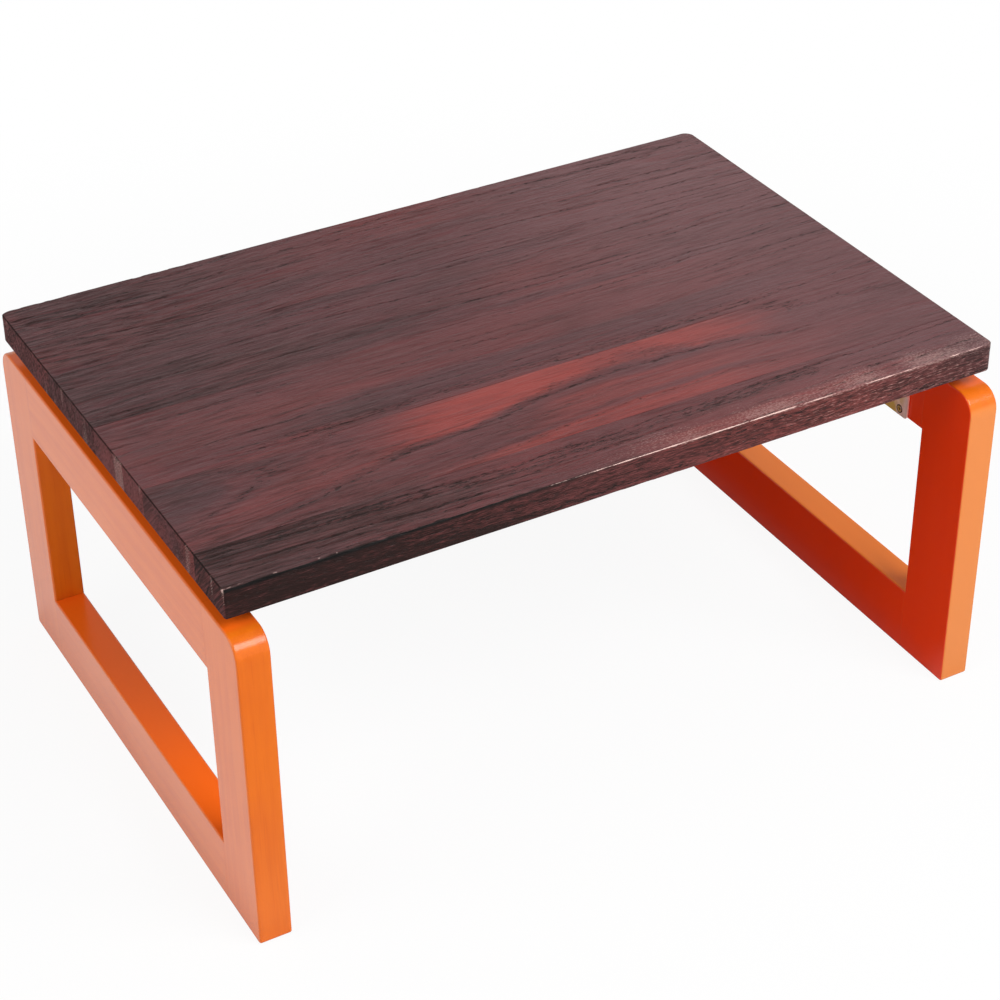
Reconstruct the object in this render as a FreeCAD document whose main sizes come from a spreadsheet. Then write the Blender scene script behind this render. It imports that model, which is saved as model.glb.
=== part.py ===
import FreeCAD, Part
import os

import Sketcher

# Driving sizes of the folding coffee table, in millimetres
SIZES = {
    # Tabletop, glued from boards that run along its length
    "overall_height": 290,
    "top_length": 600,
    "top_depth": 400,
    "top_thickness": 23,
    "top_corner_radius": 5,
    "top_edge_round": 1.5,
    "front_board_width": 46,
    "second_board_width": 84,
    "middle_board_width": 87,
    "fourth_board_width": 85,
    # Leg frames, two posts and two rails each
    "leg_depth": 424,
    "leg_thickness": 24,
    "leg_gap": 12,
    "post_width": 53,
    "top_rail_width": 53,
    "bottom_rail_width": 53,
    "leg_corner_radius": 16,
    "foot_corner_radius": 3,
    "leg_edge_round": 1.5,
    # Dowels that join each rail to its posts
    "dowel_diameter": 8,
    "dowel_length": 40,
    "dowel_pitch": 25,
    "dowel_chamfer": 1,
    "glue_clearance": 0.05,
    "glue_pocket": 1,
    # Folding brackets, pressed from sheet
    "bracket_inset": 33,
    "pivot_offset": 12,
    "sheet_thickness": 2,
    "plate_width": 40,
    "plate_reach": 46,
    "plate_corner_radius": 3,
    "bend_round": 1.2,
    "flange_reach": 34,
    "flange_lip": 1,
    "swing_clearance": 1,
    "side_clearance": 0.4,
    "stop_clearance": 0.1,
    # Pivot pin
    "pin_diameter": 6,
    "pin_clearance": 0.05,
    "pin_head_diameter": 10,
    "pin_head_height": 1.8,
    "pin_head_round": 1.2,
    # Spring catch and its rivets
    "spring_thickness": 0.8,
    "spring_width": 12,
    "spring_bend_radius": 0.6,
    "spring_foot_reach": 35,
    "lug_height": 5,
    "lug_engagement": 1.6,
    "notch_clearance": 0.3,
    "tab_drop": 1.5,
    "tab_length": 12,
    "rivet_diameter": 3,
    "rivet_clearance": 0.05,
    "rivet_head_diameter": 5.5,
    "rivet_head_height": 1.2,
    "rivet_head_round": 0.9,
    "rivet_edge": 5,
    "rivet_pitch": 9,
    # Wood screws
    "screw_diameter": 3.5,
    "screw_length": 16,
    "screw_head_diameter": 6.8,
    "screw_head_rim": 0.3,
    "screw_tip_length": 3,
    "screw_clearance": 0.25,
    "pilot_clearance": 0.05,
    "pilot_overrun": 1,
    "table_screw_side": 8,
    "table_screw_edge": 7,
    "table_screw_pitch": 21,
    "leg_screw_side": 9.2,
    "leg_screw_edge": 5.2,
    "leg_screw_pitch": 24,
    # How far a cutting shape runs past what it cuts
    "overrun": 2,
}

# Shapes that aren't lengths
COUNTERSINK_DEGREES = 90
EDGE_TOLERANCE_SHARE = 0.001

# Places, as expressions on the sheet of sizes
UNDERSIDE = "(sizes.overall_height - sizes.top_thickness)"
LEG_TOP = f"({UNDERSIDE} - sizes.leg_gap)"
LEG_MID = f"({LEG_TOP} / 2)"
LEG_BACK = "(sizes.leg_depth / 2)"
LEG_INNER = "(sizes.top_length / 2 - sizes.leg_thickness)"
POST_INNER = f"({LEG_BACK} - sizes.post_width)"
PIVOT_X = f"({LEG_INNER} - sizes.pivot_offset)"
PIVOT_Y = f"({POST_INNER} - sizes.bracket_inset)"
PIVOT_Z = f"({UNDERSIDE} - sizes.pivot_offset)"

# Places of a bracket's pieces, seen from its pivot: X towards the leg, Z up
PLATE_FACE = "(sizes.pivot_offset - sizes.sheet_thickness)"
EYE_RADIUS = f"({PLATE_FACE} - sizes.swing_clearance)"
PLATE_SIDE = "(sizes.plate_width / 2)"
EAR_INNER = f"({PLATE_SIDE} - sizes.sheet_thickness)"
CHEEK_OUTER = f"({EAR_INNER} - sizes.side_clearance)"
PLATE_NOSE = "(sizes.pivot_offset + sizes.sheet_thickness)"
LEG_PLATE_TOP = f"({PLATE_FACE} - sizes.stop_clearance)"
LEG_PLATE_FOOT = "(sizes.pivot_offset - sizes.leg_gap - sizes.top_rail_width)"
LUG_FACE = f"({EYE_RADIUS} - sizes.lug_engagement)"
NOTCH_FLOOR = f"({LUG_FACE} - sizes.notch_clearance)"
NOTCH_HALF = "(sizes.lug_height / 2 + sizes.notch_clearance)"
NOTCH_RIM = f"({EYE_RADIUS} + sizes.overrun)"
SPRING_FACE = f"({PLATE_FACE} - sizes.spring_thickness)"
SPRING_BACK = f"({LUG_FACE} + sizes.spring_thickness)"
TAB_TOP = "(sizes.lug_height / 2 + sizes.tab_drop)"
TAB_BOTTOM = f"({TAB_TOP} + sizes.spring_thickness)"
TABLE_SCREW_Y = f"({PLATE_SIDE} - sizes.table_screw_side)"
TABLE_SCREW_X = "(sizes.table_screw_edge - sizes.plate_reach)"
LEG_SCREW_Y = f"({CHEEK_OUTER} - sizes.leg_screw_side)"
LEG_SCREW_Z = f"({LEG_PLATE_FOOT} + sizes.leg_screw_edge)"
RIVET_X = "(sizes.rivet_edge - sizes.spring_foot_reach)"

# The four brackets: side of the table and row, each with the sign of its direction
SIDES = {"left": -1, "right": 1}
ROWS = {"front": -1, "back": 1}
PAIR = (-1, 1)

X_AXIS = FreeCAD.Vector(1, 0, 0)
Y_AXIS = FreeCAD.Vector(0, 1, 0)
Z_AXIS = FreeCAD.Vector(0, 0, 1)
HALF_TURN_DEGREES = 180
QUARTER_TURN_DEGREES = 90

doc = FreeCAD.newDocument("folding_coffee_table")
sizes = doc.addObject("Spreadsheet::Sheet", "sizes")
for row_number, (alias, number) in enumerate(SIZES.items(), start=1):
    sizes.set(f"A{row_number}", alias)
    sizes.set(f"B{row_number}", str(number))
    sizes.setAlias(f"B{row_number}", alias)
doc.recompute()

nodes = []


# Helpers for sizes and places

def value(expression):
    """The number that an expression on the sheet gives."""
    return float(sizes.evalExpression(expression))


def point(x="0", y="0", z="0"):
    """The point whose coordinates three expressions give."""
    return FreeCAD.Vector(value(x), value(y), value(z))


def keep(piece):
    """Count a finished piece among the nodes that are written out."""
    nodes.append(piece)
    return piece


# Helpers for sketches and features

def new_sketch(body, label, plane, offset="0"):
    """An empty sketch on one of a body's origin planes, moved along its normal."""
    sketch = body.newObject("Sketcher::SketchObject", label)
    support = next(item for item in body.Origin.OriginFeatures if item.Role == plane)
    sketch.AttachmentSupport = [(support, "")]
    sketch.MapMode = "FlatFace"
    sketch.setExpression("AttachmentOffset.Base.z", offset)
    return sketch


def fix(sketch, kind, geometry, position, expression):
    """Hold one coordinate of a sketch point at what an expression gives."""
    held = Sketcher.Constraint(kind, -1, 1, geometry, position, value(expression))
    number = sketch.addConstraint(held)
    sketch.setExpression(f"Constraints[{number}]", expression)


def outline(body, label, plane, corners, offset="0"):
    """A closed sketch through corners, each one a pair of expressions."""
    sketch = new_sketch(body, label, plane, offset)
    places = [point(x, y) for x, y in corners]
    for start, end in zip(places, places[1:] + places[:1]):
        sketch.addGeometry(Part.LineSegment(start, end), False)
    for number, (x, y) in enumerate(corners):
        following = (number + 1) % len(corners)
        sketch.addConstraint(Sketcher.Constraint("Coincident", number, 2, following, 1))
        fix(sketch, "DistanceX", number, 1, x)
        fix(sketch, "DistanceY", number, 1, y)
    return sketch


def rectangle(body, label, plane, low, high, offset="0"):
    """A closed rectangular sketch between two opposite corners."""
    corners = [low, (high[0], low[1]), high, (low[0], high[1])]
    return outline(body, label, plane, corners, offset)


def circles(body, label, plane, centres, radius, offset="0"):
    """A sketch of equal circles, each centre a pair of expressions."""
    sketch = new_sketch(body, label, plane, offset)
    for number, (x, y) in enumerate(centres):
        sketch.addGeometry(Part.Circle(point(x, y), Z_AXIS, value(radius)), False)
        sized = sketch.addConstraint(Sketcher.Constraint("Radius", number, value(radius)))
        sketch.setExpression(f"Constraints[{sized}]", radius)
        fix(sketch, "DistanceX", number, 3, x)
        fix(sketch, "DistanceY", number, 3, y)
    return sketch


def pad(body, sketch, length, backwards=False, both_ways=False):
    """Solid from a sketch, along its normal, against it, or half each way."""
    feature = body.newObject("PartDesign::Pad", f"{sketch.Label}_pad")
    feature.Profile = sketch
    feature.setExpression("Length", length)
    feature.Reversed = backwards
    feature.Midplane = both_ways
    doc.recompute()
    return feature


def checked_cut(body, feature, before):
    """Stop if a feature that should remove material removed none."""
    doc.recompute()
    if feature.Shape.Volume >= before:
        raise RuntimeError(f"{body.Label}: {feature.Label} cuts nothing")
    return feature


def through_pocket(body, sketch):
    """Cut a sketch right through the body, both ways from its plane."""
    before = body.Shape.Volume
    feature = body.newObject("PartDesign::Pocket", f"{sketch.Label}_pocket")
    feature.Profile = sketch
    feature.Type = "ThroughAll"
    feature.Midplane = True
    return checked_cut(body, feature, before)


def screw_holes(body, sketch, backwards):
    """Through holes with a countersink that takes the screw's head flush."""
    before = body.Shape.Volume
    feature = body.newObject("PartDesign::Hole", f"{sketch.Label}_hole")
    feature.Profile = sketch
    feature.Reversed = backwards
    feature.DepthType = "ThroughAll"
    feature.HoleCutType = "Countersink"
    feature.HoleCutCustomValues = True
    feature.setExpression("Diameter", "sizes.screw_diameter + 2 * sizes.screw_clearance")
    feature.setExpression("HoleCutDiameter", "sizes.screw_head_diameter + 2 * sizes.screw_head_rim")
    feature.HoleCutCountersinkAngle = COUNTERSINK_DEGREES
    return checked_cut(body, feature, before)


def mirrored(body, originals):
    """The same features on the other side of the body's middle plane."""
    feature = body.newObject("PartDesign::Mirrored", f"{originals[0].Label}_pair")
    feature.Originals = originals
    middle = next(item for item in body.Origin.OriginFeatures if item.Role == "XZ_Plane")
    feature.MirrorPlane = (middle, [""])
    body.Tip = feature
    doc.recompute()
    return feature


def revolution(body, sketch):
    """Solid of revolution about the sketch's upright axis."""
    feature = body.newObject("PartDesign::Revolution", f"{sketch.Label}_turned")
    feature.Profile = sketch
    feature.ReferenceAxis = (sketch, ["V_Axis"])
    doc.recompute()
    return feature


def rounded(body, label, radius, chosen):
    """Round each edge of the body that a test chooses."""
    base = body.Tip
    picked = [f"Edge{n}" for n, edge in enumerate(base.Shape.Edges, start=1) if chosen(edge)]
    feature = body.newObject("PartDesign::Fillet", label)
    feature.Base = (base, picked)
    feature.setExpression("Radius", radius)
    doc.recompute()
    return feature


def lies_at(edge, **places):
    """Whether an edge lies wholly at the given x, y or z places."""
    tolerance = EDGE_TOLERANCE_SHARE * value("sizes.sheet_thickness")
    bounds = edge.BoundBox
    spans = {
        "x": (bounds.XMin, bounds.XMax),
        "y": (bounds.YMin, bounds.YMax),
        "z": (bounds.ZMin, bounds.ZMax),
    }
    return all(
        abs(spans[name][0] - place) < tolerance and abs(spans[name][1] - place) < tolerance
        for name, place in places.items()
    )


# Helpers for pieces that are cut from a blank, and for groups of like pieces

def block(label, low, high):
    """A box between two corners, each three expressions, used to part a blank."""
    box = doc.addObject("Part::Box", label)
    for side, near, far in zip(("Length", "Width", "Height"), low, high):
        box.setExpression(side, f"{far} - {near}")
    for axis, near in zip("xyz", low):
        box.setExpression(f"Placement.Base.{axis}", near)
    return box


def part_of(label, blank, box):
    """The share of a blank that lies inside a box."""
    piece = doc.addObject("Part::Common", label)
    piece.Base = blank
    piece.Tool = box
    return piece


def bored(label, base, tool):
    """A piece with its holes cut."""
    piece = doc.addObject("Part::Cut", label)
    piece.Base = base
    piece.Tool = tool
    return piece


def group(label, shape, placements):
    """Copies of one shape at several placements, as separate solids of one object."""
    copies = []
    for placement in placements:
        copy = shape.copy()
        copy.Placement = placement.multiply(copy.Placement)
        copies.append(copy)
    piece = doc.addObject("Part::Feature", label)
    piece.Shape = Part.makeCompound(copies)
    return piece


def bracket_placement(side, row):
    """From a bracket's own axes, at its pivot, to the table's."""
    place = point(f"{SIDES[side]} * {PIVOT_X}", f"{ROWS[row]} * {PIVOT_Y}", PIVOT_Z)
    turn = 0 if side == "right" else HALF_TURN_DEGREES
    return FreeCAD.Placement(place, FreeCAD.Rotation(Z_AXIS, turn))


def at_bracket(body, side, row):
    """Put a bracket's piece at its place on the table."""
    body.Placement = bracket_placement(side, row)
    body.setExpression("Placement.Base.x", f"{SIDES[side]} * {PIVOT_X}")
    body.setExpression("Placement.Base.y", f"{ROWS[row]} * {PIVOT_Y}")
    body.setExpression("Placement.Base.z", PIVOT_Z)
    return keep(body)


# Wood screw, head at the origin and tip down

def wood_screw():
    """Countersunk wood screw."""
    body = doc.addObject("PartDesign::Body", "wood_screw")
    cone = "(sizes.screw_head_rim + (sizes.screw_head_diameter - sizes.screw_diameter) / 2)"
    corners = [
        ("0", "0"),
        ("sizes.screw_head_diameter / 2", "0"),
        ("sizes.screw_head_diameter / 2", "-sizes.screw_head_rim"),
        ("sizes.screw_diameter / 2", f"-{cone}"),
        ("sizes.screw_diameter / 2", "sizes.screw_tip_length - sizes.screw_length"),
        ("0", "-sizes.screw_length"),
    ]
    revolution(body, outline(body, "screw_profile", "XZ_Plane", corners))
    return body


def pilot_hole():
    """The hole that a wood screw makes for itself, a little longer than its shank."""
    hole = doc.addObject("Part::Cylinder", "pilot_hole")
    hole.setExpression("Radius", "sizes.screw_diameter / 2 + sizes.pilot_clearance")
    hole.setExpression("Height", "sizes.screw_length + sizes.pilot_overrun")
    hole.setExpression("Placement.Base.z", "-sizes.screw_length - sizes.pilot_overrun")
    doc.recompute()
    return hole


def table_screw_placements(brackets):
    """Where the screws stand that hold the table plates, heads down."""
    flip = FreeCAD.Rotation(X_AXIS, HALF_TURN_DEGREES)
    placements = []
    for side, row in brackets:
        for step in (0, 1):
            for sign in PAIR:
                x = f"{TABLE_SCREW_X} + {step} * sizes.table_screw_pitch"
                place = point(x, f"{sign} * {TABLE_SCREW_Y}", PLATE_FACE)
                placements.append(bracket_placement(side, row).multiply(FreeCAD.Placement(place, flip)))
    return placements


def leg_screw_placements(brackets):
    """Where the screws stand that hold the leg plates, heads towards the table's middle."""
    flip = FreeCAD.Rotation(Y_AXIS, -QUARTER_TURN_DEGREES)
    placements = []
    for side, row in brackets:
        for step in (0, 1):
            for sign in PAIR:
                z = f"{LEG_SCREW_Z} + {step} * sizes.leg_screw_pitch"
                place = point(PLATE_FACE, f"{sign} * {LEG_SCREW_Y}", z)
                placements.append(bracket_placement(side, row).multiply(FreeCAD.Placement(place, flip)))
    return placements


# Tabletop

def top_panel():
    """The whole tabletop before it is parted into its boards."""
    body = doc.addObject("PartDesign::Body", "top_panel")
    half_length = "sizes.top_length / 2"
    half_depth = "sizes.top_depth / 2"
    low = (f"-{half_length}", f"-{half_depth}")
    sketch = rectangle(body, "top_plan", "XY_Plane", low, (half_length, half_depth), UNDERSIDE)
    pad(body, sketch, "sizes.top_thickness")
    upright = value("sizes.top_thickness")
    rounded(body, "top_corners", "sizes.top_corner_radius",
            lambda edge: edge.BoundBox.ZLength > upright / 2)
    faces = (value(UNDERSIDE), value("sizes.overall_height"))
    rounded(body, "top_edges", "sizes.top_edge_round",
            lambda edge: any(lies_at(edge, z=face) for face in faces))
    return body


def top_boards(panel, holes):
    """The boards of the tabletop, from front to back."""
    widths = ["sizes.front_board_width", "sizes.second_board_width",
              "sizes.middle_board_width", "sizes.fourth_board_width"]
    names = ["top_board_front", "top_board_second", "top_board_middle",
             "top_board_fourth", "top_board_back"]
    seams = ["(-sizes.top_depth / 2 - sizes.overrun)"]
    for count in range(1, len(widths) + 1):
        seams.append(f"({' + '.join(widths[:count])} - sizes.top_depth / 2)")
    seams.append("(sizes.top_depth / 2 + sizes.overrun)")
    far = "(sizes.top_length / 2 + sizes.overrun)"
    for name, front, back in zip(names, seams, seams[1:]):
        box = block(f"{name}_span", (f"-{far}", front, f"({UNDERSIDE} - sizes.overrun)"),
                    (far, back, "(sizes.overall_height + sizes.overrun)"))
        keep(bored(name, part_of(f"{name}_blank", panel, box), holes))


# Leg frames

def leg_frame(side):
    """One leg frame as a whole, before it is parted into posts and rails."""
    body = doc.addObject("PartDesign::Body", f"{side}_leg_frame")
    near = LEG_INNER if side == "right" else "(-sizes.top_length / 2)"
    far = f"({near} + sizes.leg_thickness)"
    sketch = rectangle(body, f"{side}_leg_outline", "YZ_Plane",
                       (f"-{LEG_BACK}", "0"), (LEG_BACK, LEG_TOP), near)
    pad(body, sketch, "sizes.leg_thickness")
    depth, height = value(LEG_BACK), value(LEG_TOP)
    rounded(body, f"{side}_leg_corners", "sizes.leg_corner_radius",
            lambda edge: any(lies_at(edge, y=sign * depth, z=height) for sign in PAIR))
    rounded(body, f"{side}_foot_corners", "sizes.foot_corner_radius",
            lambda edge: any(lies_at(edge, y=sign * depth, z=0) for sign in PAIR))
    opening = rectangle(body, f"{side}_leg_opening", "YZ_Plane",
                        (f"-{POST_INNER}", "sizes.bottom_rail_width"),
                        (POST_INNER, f"{LEG_TOP} - sizes.top_rail_width"))
    through_pocket(body, opening)
    faces = (value(near), value(far))
    rounded(body, f"{side}_leg_edges", "sizes.leg_edge_round",
            lambda edge: any(lies_at(edge, x=face) for face in faces))
    return body


def dowel():
    """Glued dowel along Y, its middle at the origin and its ends chamfered."""
    body = doc.addObject("PartDesign::Body", "dowel")
    radius, end = "sizes.dowel_diameter / 2", "sizes.dowel_length / 2"
    corners = [
        ("0", f"-{end}"),
        (f"{radius} - sizes.dowel_chamfer", f"-{end}"),
        (radius, f"sizes.dowel_chamfer - {end}"),
        (radius, f"{end} - sizes.dowel_chamfer"),
        (f"{radius} - sizes.dowel_chamfer", end),
        ("0", end),
    ]
    revolution(body, outline(body, "dowel_profile", "XY_Plane", corners))
    return body


def dowel_bore():
    """The hole for a dowel, with room for glue round it and at its ends."""
    bore = doc.addObject("Part::Cylinder", "dowel_bore")
    bore.setExpression("Radius", "sizes.dowel_diameter / 2 + sizes.glue_clearance")
    bore.setExpression("Height", "sizes.dowel_length + 2 * sizes.glue_pocket")
    bore.Placement = FreeCAD.Placement(FreeCAD.Vector(), FreeCAD.Rotation(X_AXIS, -QUARTER_TURN_DEGREES))
    bore.setExpression("Placement.Base.y", "-sizes.dowel_length / 2 - sizes.glue_pocket")
    doc.recompute()
    return bore


def dowel_placements(side):
    """Two dowels at each end of each rail of a leg frame."""
    x = f"{SIDES[side]} * ({LEG_INNER} + sizes.leg_thickness / 2)"
    heights = ("sizes.bottom_rail_width / 2", f"{LEG_TOP} - sizes.top_rail_width / 2")
    return [
        FreeCAD.Placement(point(x, f"{end} * {POST_INNER}", f"{height} + {step} * sizes.dowel_pitch / 2"),
                          FreeCAD.Rotation())
        for height in heights for end in PAIR for step in PAIR
    ]


def leg_members(side, frame, dowel_holes, pilot_holes):
    """The posts and rails of a leg frame, with their dowel and screw holes."""
    near = "(-sizes.top_length / 2 - sizes.overrun)"
    far = "(sizes.top_length / 2 + sizes.overrun)"
    low, high = "(-sizes.overrun)", f"({LEG_TOP} + sizes.overrun)"
    end = f"({LEG_BACK} + sizes.overrun)"
    spans = {
        "front_post": ((near, f"(-{end})", low), (far, f"(-{POST_INNER})", high)),
        "back_post": ((near, POST_INNER, low), (far, end, high)),
        "bottom_rail": ((near, f"(-{POST_INNER})", low), (far, POST_INNER, LEG_MID)),
        "top_rail": ((near, f"(-{POST_INNER})", LEG_MID), (far, POST_INNER, high)),
    }
    for member, (corner, opposite) in spans.items():
        name = f"{side}_{member}"
        blank = part_of(f"{name}_blank", frame, block(f"{name}_span", corner, opposite))
        if member == "top_rail":
            keep(bored(name, bored(f"{name}_joined", blank, dowel_holes), pilot_holes))
        else:
            keep(bored(name, blank, dowel_holes))


# Folding brackets

def table_plate(side, row):
    """Channel under the tabletop, whose ears hold the pivot pin."""
    body = doc.addObject("PartDesign::Body", f"{side}_{row}_table_plate")
    tag = f"{side}_{row}_table"
    plan = rectangle(body, f"{tag}_plan", "XY_Plane", ("-sizes.plate_reach", f"-{PLATE_SIDE}"),
                     (PLATE_NOSE, PLATE_SIDE), PLATE_FACE)
    pad(body, plan, "sizes.sheet_thickness")
    ends = (value("-sizes.plate_reach"), value(PLATE_NOSE))
    rounded(body, f"{tag}_corners", "sizes.plate_corner_radius",
            lambda edge: any(lies_at(edge, x=end, y=sign * value(PLATE_SIDE))
                             for end in ends for sign in PAIR))
    corners = [
        (EYE_RADIUS, "sizes.pivot_offset"),
        (EYE_RADIUS, "0"),
        (f"-{EYE_RADIUS}", "0"),
        ("-sizes.flange_reach", f"{PLATE_FACE} - sizes.flange_lip"),
        ("-sizes.flange_reach", "sizes.pivot_offset"),
    ]
    ear = pad(body, outline(body, f"{tag}_ear", "XZ_Plane", corners, PLATE_SIDE),
              "sizes.sheet_thickness", backwards=True)
    eye = pad(body, circles(body, f"{tag}_eye", "XZ_Plane", [("0", "0")], EYE_RADIUS, PLATE_SIDE),
              "sizes.sheet_thickness", backwards=True)
    mirrored(body, [ear, eye])
    rounded(body, f"{tag}_bends", "sizes.bend_round",
            lambda edge: any(lies_at(edge, y=sign * value(PLATE_SIDE), z=value("sizes.pivot_offset"))
                             for sign in PAIR))
    through_pocket(body, circles(body, f"{tag}_pin", "XZ_Plane", [("0", "0")],
                                 "sizes.pin_diameter / 2 + sizes.pin_clearance"))
    rivets = [(RIVET_X, "0"), (f"{RIVET_X} + sizes.rivet_pitch", "0")]
    through_pocket(body, circles(body, f"{tag}_rivets", "XY_Plane", rivets,
                                 "sizes.rivet_diameter / 2 + sizes.rivet_clearance"))
    centres = [(f"{TABLE_SCREW_X} + {step} * sizes.table_screw_pitch", f"{sign} * {TABLE_SCREW_Y}")
               for step in (0, 1) for sign in PAIR]
    screw_holes(body, circles(body, f"{tag}_screws", "XY_Plane", centres,
                              "sizes.screw_diameter / 2", PLATE_FACE), backwards=True)
    return at_bracket(body, side, row)


def leg_plate(side, row):
    """Channel on the leg's top rail, whose cheeks turn on the pin and take the catch."""
    body = doc.addObject("PartDesign::Body", f"{side}_{row}_leg_plate")
    tag = f"{side}_{row}_leg"
    face = rectangle(body, f"{tag}_face", "YZ_Plane", (f"-{CHEEK_OUTER}", LEG_PLATE_FOOT),
                     (CHEEK_OUTER, LEG_PLATE_TOP), PLATE_FACE)
    pad(body, face, "sizes.sheet_thickness")
    rounded(body, f"{tag}_corners", "sizes.plate_corner_radius",
            lambda edge: any(lies_at(edge, y=sign * value(CHEEK_OUTER), z=value(LEG_PLATE_FOOT))
                             for sign in PAIR))
    corners = [
        ("0", EYE_RADIUS),
        ("sizes.pivot_offset", EYE_RADIUS),
        ("sizes.pivot_offset", "-sizes.flange_reach"),
        (f"{PLATE_FACE} - sizes.flange_lip", "-sizes.flange_reach"),
        (f"{NOTCH_HALF} + sizes.lug_engagement", f"-{NOTCH_FLOOR}"),
        ("0", "0"),
    ]
    cheek = pad(body, outline(body, f"{tag}_cheek", "XZ_Plane", corners, CHEEK_OUTER),
                "sizes.sheet_thickness", backwards=True)
    eye = pad(body, circles(body, f"{tag}_eye", "XZ_Plane", [("0", "0")], EYE_RADIUS, CHEEK_OUTER),
              "sizes.sheet_thickness", backwards=True)
    mirrored(body, [cheek, eye])
    rounded(body, f"{tag}_bends", "sizes.bend_round",
            lambda edge: any(lies_at(edge, x=value("sizes.pivot_offset"), y=sign * value(CHEEK_OUTER))
                             for sign in PAIR))
    lock_notch = [
        (f"-{NOTCH_FLOOR}", f"-{NOTCH_HALF}"),
        (f"-{NOTCH_FLOOR}", NOTCH_HALF),
        (f"-{NOTCH_RIM}", NOTCH_HALF),
        (f"-{NOTCH_RIM}", f"-{NOTCH_HALF}"),
    ]
    through_pocket(body, outline(body, f"{tag}_lock_notch", "XZ_Plane", lock_notch))
    fold_notch = [
        (NOTCH_HALF, f"-{NOTCH_FLOOR}"),
        (NOTCH_HALF, f"-{NOTCH_RIM}"),
        (f"{NOTCH_FLOOR} - {NOTCH_RIM} - {NOTCH_HALF}", f"-{NOTCH_RIM}"),
        (f"-{NOTCH_HALF}", f"-{NOTCH_FLOOR}"),
    ]
    through_pocket(body, outline(body, f"{tag}_fold_notch", "XZ_Plane", fold_notch))
    through_pocket(body, circles(body, f"{tag}_pin", "XZ_Plane", [("0", "0")],
                                 "sizes.pin_diameter / 2 + sizes.pin_clearance"))
    centres = [(f"{sign} * {LEG_SCREW_Y}", f"{LEG_SCREW_Z} + {step} * sizes.leg_screw_pitch")
               for step in (0, 1) for sign in PAIR]
    screw_holes(body, circles(body, f"{tag}_screws", "YZ_Plane", centres,
                              "sizes.screw_diameter / 2", PLATE_FACE), backwards=True)
    return at_bracket(body, side, row)


def pivot_pin(side, row):
    """Riveted pin along Y through the ears and cheeks."""
    body = doc.addObject("PartDesign::Body", f"{side}_{row}_pivot_pin")
    shank, head = "sizes.pin_diameter / 2", "sizes.pin_head_diameter / 2"
    end = f"({PLATE_SIDE} + sizes.pin_head_height)"
    corners = [
        ("0", f"-{end}"),
        (head, f"-{end}"),
        (head, f"-{PLATE_SIDE}"),
        (shank, f"-{PLATE_SIDE}"),
        (shank, PLATE_SIDE),
        (head, PLATE_SIDE),
        (head, end),
        ("0", end),
    ]
    revolution(body, outline(body, f"{side}_{row}_pin_profile", "XY_Plane", corners))
    rounded(body, f"{side}_{row}_pin_heads", "sizes.pin_head_round",
            lambda edge: any(lies_at(edge, y=sign * value(end)) for sign in PAIR))
    return at_bracket(body, side, row)


def spring_catch(side, row):
    """Bent leaf spring whose lugs drop into the notches of the cheeks."""
    body = doc.addObject("PartDesign::Body", f"{side}_{row}_spring_catch")
    tag = f"{side}_{row}_catch"
    tab_end = f"-{SPRING_BACK} - sizes.tab_length"
    corners = [
        ("-sizes.spring_foot_reach", PLATE_FACE),
        (f"-{LUG_FACE}", PLATE_FACE),
        (f"-{LUG_FACE}", f"-{TAB_BOTTOM}"),
        (tab_end, f"-{TAB_BOTTOM}"),
        (tab_end, f"-{TAB_TOP}"),
        (f"-{SPRING_BACK}", f"-{TAB_TOP}"),
        (f"-{SPRING_BACK}", SPRING_FACE),
        ("-sizes.spring_foot_reach", SPRING_FACE),
    ]
    pad(body, outline(body, f"{tag}_strip", "XZ_Plane", corners), "sizes.spring_width", both_ways=True)
    rounded(body, f"{tag}_outer_bends", "sizes.spring_bend_radius + sizes.spring_thickness",
            lambda edge: any(lies_at(edge, x=-value(LUG_FACE), z=z)
                             for z in (value(PLATE_FACE), -value(TAB_BOTTOM))))
    rounded(body, f"{tag}_inner_bends", "sizes.spring_bend_radius",
            lambda edge: any(lies_at(edge, x=-value(SPRING_BACK), z=z)
                             for z in (value(SPRING_FACE), -value(TAB_TOP))))
    lugs = rectangle(body, f"{tag}_lugs", "YZ_Plane", (f"-{CHEEK_OUTER}", "-sizes.lug_height / 2"),
                     (CHEEK_OUTER, "sizes.lug_height / 2"), f"-{SPRING_BACK}")
    pad(body, lugs, "sizes.spring_thickness")
    rivets = [(RIVET_X, "0"), (f"{RIVET_X} + sizes.rivet_pitch", "0")]
    foot = circles(body, f"{tag}_rivets", "XY_Plane", rivets,
                   "sizes.rivet_diameter / 2 + sizes.rivet_clearance", SPRING_FACE)
    before = body.Shape.Volume
    holes = body.newObject("PartDesign::Pocket", f"{tag}_rivet_holes")
    holes.Profile = foot
    holes.Reversed = True
    holes.setExpression("Length", "sizes.spring_thickness + sizes.overrun")
    checked_cut(body, holes, before)
    return at_bracket(body, side, row)


def catch_rivet():
    """Rivet from the upper face of the table plate to its head under the catch."""
    body = doc.addObject("PartDesign::Body", "catch_rivet")
    shank, head = "sizes.rivet_diameter / 2", "sizes.rivet_head_diameter / 2"
    head_end = f"{SPRING_FACE} - sizes.rivet_head_height"
    corners = [
        ("0", "sizes.pivot_offset"),
        (shank, "sizes.pivot_offset"),
        (shank, SPRING_FACE),
        (head, SPRING_FACE),
        (head, head_end),
        ("0", head_end),
    ]
    revolution(body, outline(body, "rivet_profile", "XZ_Plane", corners))
    rounded(body, "rivet_head", "sizes.rivet_head_round",
            lambda edge: lies_at(edge, z=value(head_end)))
    return body


def rivet_placements(brackets):
    """Where the rivets of the spring catches stand."""
    return [
        bracket_placement(side, row).multiply(
            FreeCAD.Placement(point(f"{RIVET_X} + {step} * sizes.rivet_pitch"), FreeCAD.Rotation()))
        for side, row in brackets for step in (0, 1)
    ]


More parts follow.
